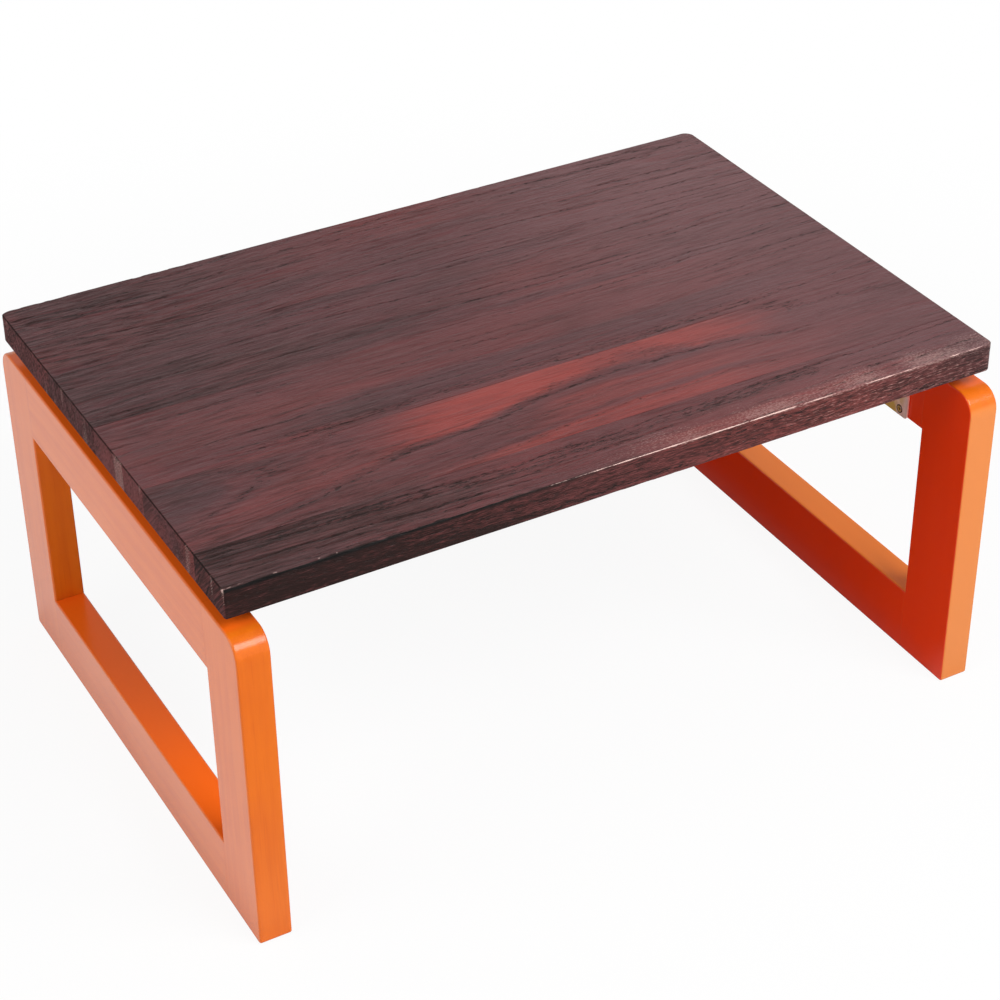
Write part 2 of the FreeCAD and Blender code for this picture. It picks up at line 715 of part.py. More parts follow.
# The whole table

def build():
    """Every piece of the table, at its place."""
    brackets = [(side, row) for side in SIDES for row in ROWS]
    screw = wood_screw()
    pilot = pilot_hole()
    table_screws = table_screw_placements(brackets)
    table_pilots = group("table_screw_pilots", pilot.Shape, table_screws)
    top_boards(top_panel(), table_pilots)
    keep(group("table_plate_screws", screw.Shape, table_screws))

    peg, bore = dowel(), dowel_bore()
    for side in SIDES:
        rows = [(side, row) for row in ROWS]
        leg_screws = leg_screw_placements(rows)
        joints = dowel_placements(side)
        dowel_holes = group(f"{side}_dowel_bores", bore.Shape, joints)
        leg_pilots = group(f"{side}_leg_screw_pilots", pilot.Shape, leg_screws)
        leg_members(side, leg_frame(side), dowel_holes, leg_pilots)
        keep(group(f"{side}_leg_dowels", peg.Shape, joints))
        keep(group(f"{side}_leg_plate_screws", screw.Shape, leg_screws))

    for side, row in brackets:
        table_plate(side, row)
        leg_plate(side, row)
        pivot_pin(side, row)
        spring_catch(side, row)
    keep(group("catch_rivets", catch_rivet().Shape, rivet_placements(brackets)))


def write_out():
    """Check every object, then write each piece to its own file."""
    doc.recompute()
    for item in doc.Objects:
        if "Invalid" in item.State or "Error" in item.State:
            raise RuntimeError(f"{item.Label} failed: {item.State}")
    for piece in nodes:
        if piece.Shape.isNull() or not piece.Shape.isValid():
            raise RuntimeError(f"{piece.Label} has no valid shape")
    os.makedirs("parts", exist_ok=True)
    for piece in nodes:
        piece.Shape.exportStep(f"parts/{piece.Label}.step")
        print(piece.Label, len(piece.Shape.Solids), "solids", round(piece.Shape.Volume), "mm3")


build()
write_out()
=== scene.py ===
import math
from collections import namedtuple

import bpy
import numpy as np
from bpy.props import FloatProperty, FloatVectorProperty, IntProperty, PointerProperty
from mathutils import Matrix, Quaternion, Vector


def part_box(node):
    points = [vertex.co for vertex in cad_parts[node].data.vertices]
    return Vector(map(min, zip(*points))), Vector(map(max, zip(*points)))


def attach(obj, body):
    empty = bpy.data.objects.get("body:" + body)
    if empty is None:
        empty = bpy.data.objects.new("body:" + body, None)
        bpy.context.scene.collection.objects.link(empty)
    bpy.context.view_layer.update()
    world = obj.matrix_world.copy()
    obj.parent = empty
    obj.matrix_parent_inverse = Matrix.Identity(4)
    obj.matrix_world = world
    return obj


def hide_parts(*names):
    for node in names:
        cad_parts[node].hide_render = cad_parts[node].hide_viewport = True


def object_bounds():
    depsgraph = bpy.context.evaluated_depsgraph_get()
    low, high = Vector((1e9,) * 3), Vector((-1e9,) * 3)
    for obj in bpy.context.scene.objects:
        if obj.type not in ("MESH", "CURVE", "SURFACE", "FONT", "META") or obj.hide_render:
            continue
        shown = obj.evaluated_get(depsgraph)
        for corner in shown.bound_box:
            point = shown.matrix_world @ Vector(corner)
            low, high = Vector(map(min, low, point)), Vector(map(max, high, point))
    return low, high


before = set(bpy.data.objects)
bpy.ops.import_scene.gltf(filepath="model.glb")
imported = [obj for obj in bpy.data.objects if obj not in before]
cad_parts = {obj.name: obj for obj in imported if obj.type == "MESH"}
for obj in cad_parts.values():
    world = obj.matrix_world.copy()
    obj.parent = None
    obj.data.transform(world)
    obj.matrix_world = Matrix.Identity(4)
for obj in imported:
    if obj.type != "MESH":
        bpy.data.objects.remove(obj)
CAD_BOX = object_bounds()

bl_info = {
    "name": "Folding Coffee Table",
    "version": (1, 0, 0),
    "blender": (4, 5, 0),
    "location": "View3D > Sidebar > Table",
    "description": "Finishes a folding coffee table: brushed boards, lacquered legs, plated brackets",
    "category": "Object",
}

MM = 0.001
# Faces that meet at a larger angle keep a sharp edge
BOARD_CREASE, SCREW_CREASE = math.radians(50), math.radians(32)
# Very dark colour of the painted shadow line under the slab's upper edges
PAINTED_SHADOW_BLACK = (0.003, 0.002, 0.002)

# How each board was cut from its log, in millimetres, and how it burnt. Pith is where the middle of
# the growth rings runs: places along the table, and there its place across the table and its depth
# under the top. Ring is a growth ring's width. The numbers after it say how open the pores are, how
# red the wood is and how far that drifts, how dark the burn is and how rough the brushing.
Board = namedtuple("Board", "node seed pith ring pores red swing char rough streaks lines")
# Redder wood between two distances from the pith, from one place along the table to another, and
# how far in from its ends it fades.
Streak = namedtuple("Streak", "near far start end strength")
STREAK_FADE = 130
# A porous growth ring: its distance from the pith, half its width, where it starts and ends, and how
# far in from there it fades.
Line = namedtuple("Line", "radius half start end strength")
LINE_FADE = 30

BOARDS = (
    Board("top_board_front", 11, ((-300, -262, 66), (-60, -270, 70), (120, -268, 66), (300, -262, 70)),
          5.6, 0.55, 0.27, 0.13, 0.37, 0.8, (Streak(70, 107, -40, 300, 0.18),),
          (Line(121, 6.0, -320, 190, 0.55), Line(108, 1.0, -300, -60, 0.5))),
    Board("top_board_second", 23,
          ((-300, -98, 37), (-250, -95, 45), (-229, -92, 47), (-202, -88, 49), (-180, -87, 52.5),
           (-154, -86, 58.5), (-120, -84, 60.3), (-60, -80, 59.8), (0, -76, 63.2), (75, -74, 64.4),
           (130, -75, 62.2), (167, -76, 58.8), (200, -76, 57.5), (300, -80, 56)),
          10.5, 0.20, 0.27, 0.12, 0.22, 0.45,
          (Streak(55, 67.2, -170, 215, 0.66), Streak(62, 67.2, -220, -10, 0.15),
           Streak(49, 67, -420, -110, 0.12), Streak(86, 106, -160, 215, 0.33),
           Streak(70, 86, -90, 230, 0.22), Streak(28, 46, -340, -150, -0.4)),
          (Line(48.7, 0.9, -300, -190, 0.5), Line(58.3, 1.2, -215, -140, 0.4),
           Line(68.0, 0.85, -245, 215, 0.85), Line(89.5, 0.8, -90, 180, 0.5),
           Line(58.3, 1.0, 165, 300, 0.4))),
    Board("top_board_middle", 37, ((-300, 108, 84), (-100, 114, 78), (100, 110, 80), (300, 118, 84)),
          7.4, 0.35, 0.29, 0.12, 0.19, 0.6, (Streak(165, 190, -260, 300, -0.12),),
          (Line(191, 4.0, -260, 240, 0.45),)),
    Board("top_board_fourth", 41, ((-300, 205, 60), (-140, 212, 66), (60, 206, 60), (300, 212, 64)),
          6.3, 0.55, 0.19, 0.11, 0.30, 0.9, (Streak(150, 190, -60, 200, 0.10),), ()),
    Board("top_board_back", 53, ((-300, 262, 84), (-180, 252, 76), (0, 262, 90), (300, 255, 82)),
          7.0, 0.55, 0.20, 0.11, 0.25, 1.0, (Streak(90, 135, -120, 170, 0.12),), ()),
)

# What each board's mesh holds for its material, beside the grain's coordinates
MARKS = ("porous", "ember", "char_and_shade", "worn", "brushed", "front", "end", "painted_glints", "bleached")

SIDES = ("left", "right")
ROWS = ("front", "back")


# What a user can change

def colour_setting(name, description, default):
    """A colour that a user can change."""
    return FloatVectorProperty(name=name, description=description, default=default,
                               subtype="COLOR", min=0, max=1)


def length_setting(name, description, default, smallest=0):
    """A length that a user can change, in metres."""
    return FloatProperty(name=name, description=description, default=default, min=smallest,
                         precision=5, unit="LENGTH")


class TabletopSettings(bpy.types.PropertyGroup):
    """Sizes and colours of the brushed boards."""

    groove_depth: length_setting("Groove depth", "How deep brushing wears the soft wood", 0.42 * MM)
    chip_depth: length_setting("Chip depth", "How deep the upper edges are chipped", 0.8 * MM)
    corner_radii: FloatVectorProperty(
        name="Corner radii", description="Upright corners: front left, front right, back left, back right",
        default=(2 * MM, 4.5 * MM, 5 * MM, 8 * MM), size=4, min=0, precision=4, unit="LENGTH")
    edge_radius: length_setting("Edge radius", "Radius of the upper and lower edges", 1.5 * MM)
    step_along: length_setting("Step along the grain", "Length of a face of the mesh", 3 * MM, 1 * MM)
    step_across: length_setting(
        "Step across the grain", "Width of a face of the mesh", 0.7 * MM, 0.4 * MM)
    wood: colour_setting("Wood", "Stained wood between the grooves", (0.106, 0.040, 0.045))
    ember: colour_setting("Red wood", "Wood where the burn is thin", (0.300, 0.054, 0.046))
    ash: colour_setting("Grey wood", "Wood where the burn is thick", (0.068, 0.046, 0.045))
    # Painted light: a lighter wood colour towards the back of the right end, where the key light falls
    bleached: colour_setting("Bleached wood", "Wood that daylight has paled", (0.200, 0.090, 0.094))
    char: colour_setting("Char", "Burnt wood in the grooves", (0.018, 0.0055, 0.0045))
    # Also the colour of the painted highlight along the upper front edge and of the painted glints beside
    # it
    worn: colour_setting("Worn wood", "Bare fibres on worn edges", (0.84, 0.57, 0.51))


class LegSettings(bpy.types.PropertyGroup):
    """Colours of the lacquered leg frames."""

    lacquer: colour_setting("Lacquer", "Orange stain under the lacquer", (0.80, 0.163, 0.007))
    grain: colour_setting("Grain", "Darker grain that shows through the stain", (0.60, 0.080, 0.004))
    # Painted shade: a deeper colour on the faces towards the middle of the table, which the slab shades
    deep: colour_setting(
        "Inner faces", "Deeper stain that daylight hasn't bleached", (0.78, 0.032, 0.0015))
    # Painted light: a brighter colour on the upward faces under the slab, where the slab shades them
    painted_light_tops: colour_setting(
        "Sheltered faces", "Fresh stain on upward faces of the leg frames", (1.0, 0.150, 0.008))
    # Painted light: a still brighter colour on top of the right bottom rail, which lies in the slab's
    # shadow
    painted_light_low_rail: colour_setting(
        "Low rail", "Lighter stain on top of the right leg frame's bottom rail", (1.0, 0.25, 0.03))
    # Painted light: a lighter colour on the front of the right leg frame, which faces the key light
    painted_light_front: colour_setting(
        "Faded face", "Paler stain on the front of the right leg frame", (0.75, 0.225, 0.044))
    seam_width: length_setting(
        "Seam width", "Width of the glue line between a rail and a post", 0.35 * MM)


class BracketSettings(bpy.types.PropertyGroup):
    """Colours of the metal parts and the shape of a screw's head."""

    zinc: colour_setting("Plating", "Yellow plating of the plates and screws", (0.74, 0.42, 0.09))
    bloom: colour_setting("Bloom", "Pink sheen in the plating", (1.0, 0.64, 0.55))
    steel: colour_setting("Steel", "Pins and rivets", (0.58, 0.55, 0.50))
    blued: colour_setting("Blued steel", "Spring catches", (0.10, 0.11, 0.14))
    recess_depth: length_setting("Recess depth", "Depth of the cross in a screw's head", 1.5 * MM)
    thread_pitch: length_setting(
        "Thread pitch", "Distance between a screw's threads", 1.4 * MM, 0.5 * MM)
    screw_sides: IntProperty(
        name="Sides", description="Number of sides of a screw's mesh", default=40, min=12)


class StageSettings(bpy.types.PropertyGroup):
    """Camera, floor and light."""

    focal_length: FloatProperty(
        name="Focal length", description="Lens of the camera", default=89.54,
        subtype="DISTANCE_CAMERA", unit="CAMERA")
    camera_place: FloatVectorProperty(
        name="Camera place", description="Where the camera stands",
        default=(-0.74982, -1.36852, 1.19353), subtype="TRANSLATION", unit="LENGTH")
    azimuth: FloatProperty(
        name="Azimuth", description="Turn of the view from the table's front",
        default=math.radians(-28.933), subtype="ANGLE", unit="ROTATION")
    elevation: FloatProperty(
        name="Elevation", description="How far the camera looks down",
        default=math.radians(34.049), subtype="ANGLE", unit="ROTATION")
    roll: FloatProperty(
        name="Roll", description="Tilt of the camera about its line of sight",
        default=math.radians(-0.661), subtype="ANGLE", unit="ROTATION")
    floor_colour: colour_setting("Floor", "Colour of the floor", (0.88, 0.88, 0.88))
    ambient: FloatProperty(
        name="Ambient light", description="Strength of the light from all round",
        default=0.46, min=0)
    ceiling: FloatProperty(
        name="Ceiling", description="Brightness of the studio's ceiling in a gloss", default=0.20, min=0)
    key_power: FloatProperty(
        name="Key light", description="Power of the softbox in front", default=40, min=0,
        subtype="POWER", unit="POWER")
    fill_power: FloatProperty(
        name="Fill light", description="Power of the softbox on the left", default=20, min=0,
        subtype="POWER", unit="POWER")


# Shader nodes

class Field:
    """A value that varies over a surface. Arithmetic on it adds Math nodes."""

    def __init__(self, nodes, socket):
        self.nodes = nodes
        self.socket = socket

    def combine(self, operation, first, second):
        return self.nodes.node("ShaderNodeMath", {"operation": operation}, {0: first, 1: second})

    def __add__(self, other):
        return self.combine("ADD", self, other)

    __radd__ = __add__

    def __sub__(self, other):
        return self.combine("SUBTRACT", self, other)

    def __rsub__(self, other):
        return self.combine("SUBTRACT", other, self)

    def __mul__(self, other):
        return self.combine("MULTIPLY", self, other)

    __rmul__ = __mul__


class Nodes:
    """Adds nodes to a tree."""

    def __init__(self, tree):
        self.tree = tree

    def node(self, kind, settings=None, values=None, output=0):
        """Add a node with its settings, then the values or links of its sockets."""
        made = self.tree.nodes.new(kind)
        for name, setting in (settings or {}).items():
            setattr(made, name, setting)
        for name, value in (values or {}).items():
            self.feed(find_socket(made.inputs, name), value)
        shown = [socket for socket in made.outputs if socket.enabled]
        return Field(self, shown[output])

    def feed(self, socket, value):
        """Link a field to a socket, or set the socket to a plain value."""
        if isinstance(value, Field):
            self.tree.links.new(value.socket, socket)
        elif socket.type == "RGBA":
            socket.default_value = (*value[:3], 1)
        else:
            socket.default_value = value

    def stretched(self, coordinates, scale, shift=(0, 0, 0)):
        """Coordinates scaled along each axis and shifted."""
        return self.node("ShaderNodeVectorMath", {"operation": "MULTIPLY_ADD"},
                         {0: coordinates, 1: scale, 2: shift})

    def noise(self, coordinates, scale, detail=2.0, shift=(0, 0, 0)):
        """Noise between 0 and 1, with its own number of cells to a metre along each axis."""
        return self.node("ShaderNodeTexNoise", {"normalize": True},
                         {"Vector": self.stretched(coordinates, scale, shift), "Scale": 1.0,
                          "Detail": detail, "Roughness": 0.55})

    def step(self, field, low, high, at_low=0.0, at_high=1.0):
        """A smooth step from one value to another as the field passes between two others."""
        return self.node("ShaderNodeMapRange", {"interpolation_type": "SMOOTHSTEP"},
                         {"Value": field, "From Min": low, "From Max": high,
                          "To Min": at_low, "To Max": at_high})

    def mix(self, share, first, second):
        """A mix of two colours."""
        return self.node("ShaderNodeMix", {"data_type": "RGBA"},
                         {"Factor": share, "A": first, "B": second})

    def magnitude(self, field):
        """A number without its sign."""
        return self.node("ShaderNodeMath", {"operation": "ABSOLUTE"}, {0: field})

    def larger(self, first, second):
        """The larger of two numbers."""
        return self.node("ShaderNodeMath", {"operation": "MAXIMUM"}, {0: first, 1: second})

    def axis(self, coordinates, number):
        """One coordinate out of three."""
        return self.node("ShaderNodeSeparateXYZ", None, {"Vector": coordinates}, output=number)


class Surface(Nodes):
    """A procedural material around one Principled shader."""

    def __init__(self, name):
        self.material = bpy.data.materials.new(name)
        self.material.use_nodes = True
        super().__init__(self.material.node_tree)
        self.shader = self.tree.nodes["Principled BSDF"]

    def shade(self, **inputs):
        """Set inputs of the Principled shader, named with underscores for spaces."""
        for name, value in inputs.items():
            self.feed(find_socket(self.shader.inputs, name.replace("_", " ")), value)
        return self.material

    def attribute(self, name, vector=False):
        """What the mesh holds under a name."""
        return self.node("ShaderNodeAttribute", {"attribute_name": name}, output=1 if vector else 2)

    def bump(self, height, distance, strength=1.0):
        """A normal that follows a height."""
        return self.node("ShaderNodeBump", None,
                         {"Height": height, "Distance": distance, "Strength": strength})

    def place(self):
        """Coordinates in metres on the piece itself."""
        return self.node("ShaderNodeTexCoord", output=3)


def find_socket(sockets, name):
    """An input by its number, or the one in use by its name."""
    if isinstance(name, int):
        return sockets[name]
    return next(socket for socket in sockets if socket.name == name and socket.enabled)


# Materials

def brushed_wood(settings):
    """Burnt and brushed wood that reads its grain from the boards' meshes."""
    surface = Surface("brushed_burnt_wood")
    grain = surface.attribute("grain", vector=True)
    marks = [surface.attribute(name) for name in MARKS]
    porous, ember, char_and_shade, worn, brushed, front, end, painted_glints, bleached = marks

    fibres = surface.noise(grain, (30, 460, 260), detail=3)
    strands = surface.noise(grain, (13, 250, 110))
    bands = surface.noise(grain, (5, 75, 60))
    patches = surface.noise(grain, (11, 24, 24), shift=(3.1, 0.4, 7.7))
    pits = surface.noise(grain, (170, 700, 620), detail=1, shift=(5.5, 1.2, 0.3))
    specks = surface.noise(grain, (520, 900, 900), detail=1)
    slivers = surface.noise(grain, (140, 1250, 1100), shift=(9.1, 3.3, 2.2))

    pores = surface.step(pits + 0.16 * porous, 0.60, 0.70) * surface.step(porous, 0.02, 0.35, 0.25, 1)
    furrows = (fibres - 0.5) * (0.4 + brushed + 0.6 * ember) * (1 - 0.6 * front)
    dark = 0.12 + 0.95 * furrows + 0.55 * (strands - 0.5) + 0.3 * (bands - 0.5) + 0.25 * porous
    dark = dark + 0.35 * pores + 0.85 * char_and_shade - 0.1 * ember - (slivers - 0.5) * (0.3 + front)
    dark = surface.step(dark, 0.0, 1.0)
    # Painted shadow: very dark where the char mark runs highest, mostly the line under the upper front
    # edge
    painted_shadow_line = surface.step(char_and_shade + 0.5 * (strands - 0.5), 1.0, 1.7)
    grey = char_and_shade + 0.8 * (patches - 0.5) + 0.4 * (bands - 0.5) - 0.5 * ember - 1.2 * front - 0.5 * end
    grey = surface.step(grey, -0.15, 0.65)
    red = surface.step(ember + 0.20 * (patches - 0.5) + 0.12 * (strands - 0.5), 0.02, 0.95)
    # Painted highlights: light specks near the right half of the front edge
    glint_share = surface.step(painted_glints + 1.3 * (specks - 0.5), 0.40, 0.85)
    # Bare wood, and the painted highlight along the upper front edge
    pale = surface.step(worn + 0.6 * (specks - 0.5) + 1.5 * (slivers - 0.5) * front, 0.40, 0.90)

    colour = surface.mix(red, settings.wood, settings.ember)
    colour = surface.mix(0.65 * grey, colour, settings.ash)
    # Painted light: lighter towards the back of the right end
    colour = surface.mix(bleached, colour, settings.bleached)
    colour = surface.mix(dark, colour, settings.char)
    colour = surface.mix(painted_shadow_line, colour, PAINTED_SHADOW_BLACK)
    colour = surface.mix(0.21 * glint_share, colour, settings.worn)
    colour = surface.mix((0.9 - 0.60 * front) * pale, colour, settings.worn)
    height = (1.2 * fibres + 0.5 * slivers) * (0.35 + brushed) - 0.8 * pores + 0.4 * strands
    roughness = 0.42 + 0.14 * (dark - pale) + 0.12 * (patches - 0.5) + 0.42 * end
    return surface.shade(Base_Color=colour, Roughness=roughness, Specular_IOR_Level=0.22,
                         Normal=surface.bump(height, 0.70 * MM, 0.8))


def lacquered_wood(node, settings, along, shift, upper, seam=None):
    """Orange lacquer over wood whose grain runs along one axis, with a glue line at a seam. Painted light
    makes the upward faces under the slab brighter and the right frame's front lighter; painted shade makes
    the faces towards the middle of the table deeper."""
    surface = Surface(f"{node}_lacquer")
    place = surface.place()
    coarse, fine = [120] * 3, [900] * 3
    coarse[along], fine[along] = 5, 24
    bands = surface.noise(place, coarse, detail=3, shift=shift)
    lines = surface.noise(place, fine, shift=shift)
    clouds = surface.noise(place, (16, 16, 16), shift=shift)
    pores = surface.step(surface.noise(place, fine, detail=0, shift=shift[::-1]), 0.68, 0.80)
    peel = surface.noise(place, (240, 240, 240), detail=1)

    share = surface.step(0.8 * bands + 0.25 * lines + 0.5 * clouds, 0.60, 1.10)
    colour = surface.mix(0.45 * share + 0.15 * pores, settings.lacquer, settings.grain)
    low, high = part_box("left_front_post")
    x, y, z = [surface.axis(place, number) for number in range(3)]
    outer = surface.step(surface.magnitude(x), -high.x + 0.05 * MM, -high.x + 0.7 * MM)
    shade = 1 - surface.step(surface.magnitude(y), -low.y - 20 * MM, -low.y - 12 * MM)
    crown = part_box(node)[1].z
    # Painted light: the upward faces under the slab take the brighter colour given for them
    top = surface.step(z, crown - 0.4 * MM, crown - 0.1 * MM)
    colour = surface.mix(top * shade, colour, upper)
    # Painted light: the front face of the right leg frame is lighter
    front = surface.step(y, low.y + 0.2 * MM, low.y + 2 * MM, 1, 0)
    colour = surface.mix(front * surface.step(x, 0, 1 * MM), colour, settings.painted_light_front)
    # Painted shade: the faces towards the middle of the table are deeper
    colour = surface.mix(0.95 * (1 - outer), colour, settings.deep)
    height = 0.25 * lines + 0.6 * peel
    if seam is not None:
        distance = surface.magnitude(y)
        line = surface.step(distance, seam - settings.seam_width, seam - settings.seam_width / 2)
        colour = surface.mix(0.45 * line, colour, settings.grain)
        height = height - 6 * line
    roughness = 0.18 + 0.08 * clouds
    return surface.shade(Base_Color=colour, Roughness=roughness, Specular_IOR_Level=0.38,
                         Normal=surface.bump(height, 0.08 * MM, 0.5))


def plain_wood(name, colour, darker):
    """Bare beech for the dowels."""
    surface = Surface(name)
    place = surface.place()
    lines = surface.noise(place, (1400, 60, 1400), detail=3)
    return surface.shade(Base_Color=surface.mix(lines, colour, darker), Roughness=0.55 + 0.2 * lines,
                         Normal=surface.bump(lines, 0.05 * MM))


def plated_metal(name, colour, bloom, roughness, metallic=1.0, sheen_scale=55, lean=0, painted_recess_shade=None):
    """Plated steel whose tint drifts, and leans to the bloom at each bracket's outer side, with fine
    scratches, and painted shade in recesses where the mesh says so."""
    surface = Surface(name)
    place = surface.place()
    low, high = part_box("left_front_leg_plate")
    middle = -(low.y + high.y) / 2
    outer = surface.magnitude(surface.axis(place, 1)) - (middle + 7 * MM)
    drift = surface.noise(place, (sheen_scale,) * 3, detail=3) + lean * outer
    drift = surface.step(drift, 0.38, 0.66)
    scratches = surface.noise(place, (2600, 180, 900))
    spots = surface.noise(place, (700, 700, 700), detail=1)
    tint = surface.mix(drift, colour, bloom)
    if painted_recess_shade is not None:
        tint = surface.mix(surface.attribute("painted_recess_shade"), tint, painted_recess_shade)
    return surface.shade(Base_Color=tint, Metallic=metallic,
                         Roughness=roughness + 0.16 * scratches + 0.10 * (spots - 0.5),
                         Normal=surface.bump(0.7 * scratches + 0.3 * spots, 0.02 * MM, 0.5))


# Meshes

def noise(u, v, seed, cells=256):
    """Smooth random field from 0 to 1 over two coordinates, one cell to each unit."""
    table = np.random.default_rng(seed).random((cells, cells))
    i, j = np.floor(u).astype(int), np.floor(v).astype(int)
    a, b = u - i, v - j
    a, b = a * a * (3 - 2 * a), b * b * (3 - 2 * b)
    near = table[i % cells, j % cells] * (1 - a) + table[(i + 1) % cells, j % cells] * a
    far = table[i % cells, (j + 1) % cells] * (1 - a) + table[(i + 1) % cells, (j + 1) % cells] * a
    return near * (1 - b) + far * b


def smooth_step(value, low, high):
    """0 below low, 1 above high, and smooth between."""
    t = np.clip((value - low) / (high - low), 0, 1)
    return t * t * (3 - 2 * t)


def window(value, start, end, fade):
    """1 between start and end, fading out inside them."""
    return smooth_step(value, start, start + fade) * (1 - smooth_step(value, end - fade, end))


def eased(x, places, values):
    """Values at places along a board, joined by a smooth line."""
    reach = np.linspace(-20, 20, 9) * MM
    return sum(np.interp(x + offset, places, values) for offset in reach) / len(reach)


def grid_faces(number):
    """Corners of the faces between the numbered points of a grid."""
    corners = [number[:-1, :-1], number[1:, :-1], number[1:, 1:], number[:-1, 1:]]
    return np.stack(corners, -1).reshape(-1, 4)


def shell(xs, ys, zs):
    """A box's surface, divided at the given places along each side: its points, its faces and a
    flat map of them, with the six sides in rows."""
    number = np.arange(len(xs) * len(ys) * len(zs)).reshape(len(xs), len(ys), len(zs))
    skin = np.ones(number.shape, bool)
    skin[1:-1, 1:-1, 1:-1] = False
    number[skin] = np.arange(skin.sum())
    points = np.stack([part[skin] for part in np.meshgrid(xs, ys, zs, indexing="ij")], 1)
    spans = [places[-1] - places[0] for places in (xs, ys, zs)]
    gap = 3 * MM
    rows = {(2, -1): 0, (2, 0): spans[1] + gap, (1, 0): 2 * (spans[1] + gap)}
    rows[1, -1] = rows[1, 0] + spans[2] + gap
    rows[0, 0] = rows[0, -1] = rows[1, -1] + spans[2] + gap
    height = rows[0, 0] + spans[2]
    faces, maps = [], []
    for (axis, end), row in rows.items():
        corners = grid_faces(np.take(number, end, axis))
        if (end == -1) == (axis == 1):
            corners = corners[:, ::-1]
        right, up = [n for n in range(3) if n != axis]
        u = points[corners, right] - points[:, right].min()
        if (axis, end) == (0, -1):
            u = u + spans[1] + gap
        v = points[corners, up] - points[:, up].min() + row
        faces.append(corners)
        maps.append(np.stack([u / spans[0], v / height], -1))
    return points, np.concatenate(faces), np.concatenate(maps)


def divisions(low, high, step, fine_low, fine_high):
    """Places from low to high, even ones between finer ones at the two ends."""
    start, end = low + fine_low[-1], high - fine_high[-1]
    middle = np.linspace(start, end, max(2, round((end - start) / step) + 1))
    before = [low + distance for distance in fine_low[:-1]]
    after = [high - distance for distance in fine_high[:-1]]
    return np.array([*before, *middle, *after[::-1]])


def to_disc(u, v):
    """The quarter of a unit square, taken to the quarter of a unit disc."""
    return u * np.sqrt(1 - v * v / 2), v * np.sqrt(1 - u * u / 2)


def round_slab(points, low, high, radii, edge):
    """Points of a box taken to the slab with rounded corners and edges, with the slab's outward
    directions there, and how near each point is to an edge and to a corner, from 0 to 1."""
    middle, half = (low + high) / 2, (high - low) / 2
    local = points - middle
    sign, size = np.sign(local), np.abs(local)
    corner = np.array(radii)[2 * (local[:, 1] > 0) + (local[:, 0] > 0)][:, None]
    inner = half[:2] - corner
    over = np.clip((size[:, :2] - inner) / corner, 0, 1)
    u, v = to_disc(over[:, 0], over[:, 1])
    in_corner = (over > 0).all(1)
    plan = size[:, :2].copy()
    plan[in_corner] = (inner + corner * np.stack([u, v], 1))[in_corner]

    beyond = np.clip(plan - inner, 0, None)
    reach = np.linalg.norm(beyond, axis=1)
    depth = np.where(in_corner, corner[:, 0] - reach, (half[:2] - plan).min(1))
    across = half[0] - plan[:, 0] > half[1] - plan[:, 1]
    outward = np.where(across[:, None], (0.0, 1.0), (1.0, 0.0))
    outward[in_corner] = beyond[in_corner] / reach[in_corner, None]

    side = np.clip(1 - depth / edge, 0, 1)
    rise = np.clip((size[:, 2] - half[2] + edge) / edge, 0, 1)
    on_skin = np.maximum(side, rise) > 1 - 1e-6
    e, w = to_disc(side, rise)
    plan -= outward * (np.where(side > 0, edge * (1 - e) - depth, 0))[:, None]
    height = np.where(rise > 0, half[2] - edge + edge * w, size[:, 2])
    shaped = np.column_stack([plan, height]) * np.where(sign == 0, 1, sign) + middle
    normal = np.column_stack([outward * e[:, None], w]) * sign
    normal[~on_skin] = 0
    near_corner = in_corner * side * (2 * outward[:, 0] * outward[:, 1]) ** 2
    return shaped, normal, np.minimum(side, rise) * on_skin, near_corner * on_skin


def new_object(name, data):
    """An object in the scene."""
    made = bpy.data.objects.new(name, data)
    bpy.context.scene.collection.objects.link(made)
    return made


def new_mesh(name, points, faces, material):
    """A mesh object of one material."""
    mesh = bpy.data.meshes.new(name)
    mesh.from_pydata(points.tolist(), [], [list(face) for face in faces])
    mesh.materials.append(material)
    return new_object(name, mesh)


def new_piece(name, points, faces, material, body, crease):
    """A smooth mesh object that rides on a body of the frame."""
    piece = new_mesh(name, points, faces, material)
    piece.data.shade_smooth()
    piece.data.set_sharp_from_angle(angle=crease)
    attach(piece, body)
    return piece


def store(mesh, name, values):
    """Keep one number, or three, for each point of a mesh."""
    three = values.ndim == 2
    attribute = mesh.attributes.new(name, "FLOAT_VECTOR" if three else "FLOAT", "POINT")
    attribute.data.foreach_set("vector" if three else "value", values.astype(np.float32).ravel())


# Tabletop

# Rows of a board's mesh across its rounded edge and past it, in shares of the edge's radius
ON_EDGE = (0, 0.1, 0.25, 0.42, 0.6, 0.8, 1)
PAST_EDGE = (1.5, 2.1, 2.9, 3.9, 5.2)
STEP_DOWN = 1.6 * MM
# The front board's mesh is finer, for its chips
FINER_FRONT = 0.7


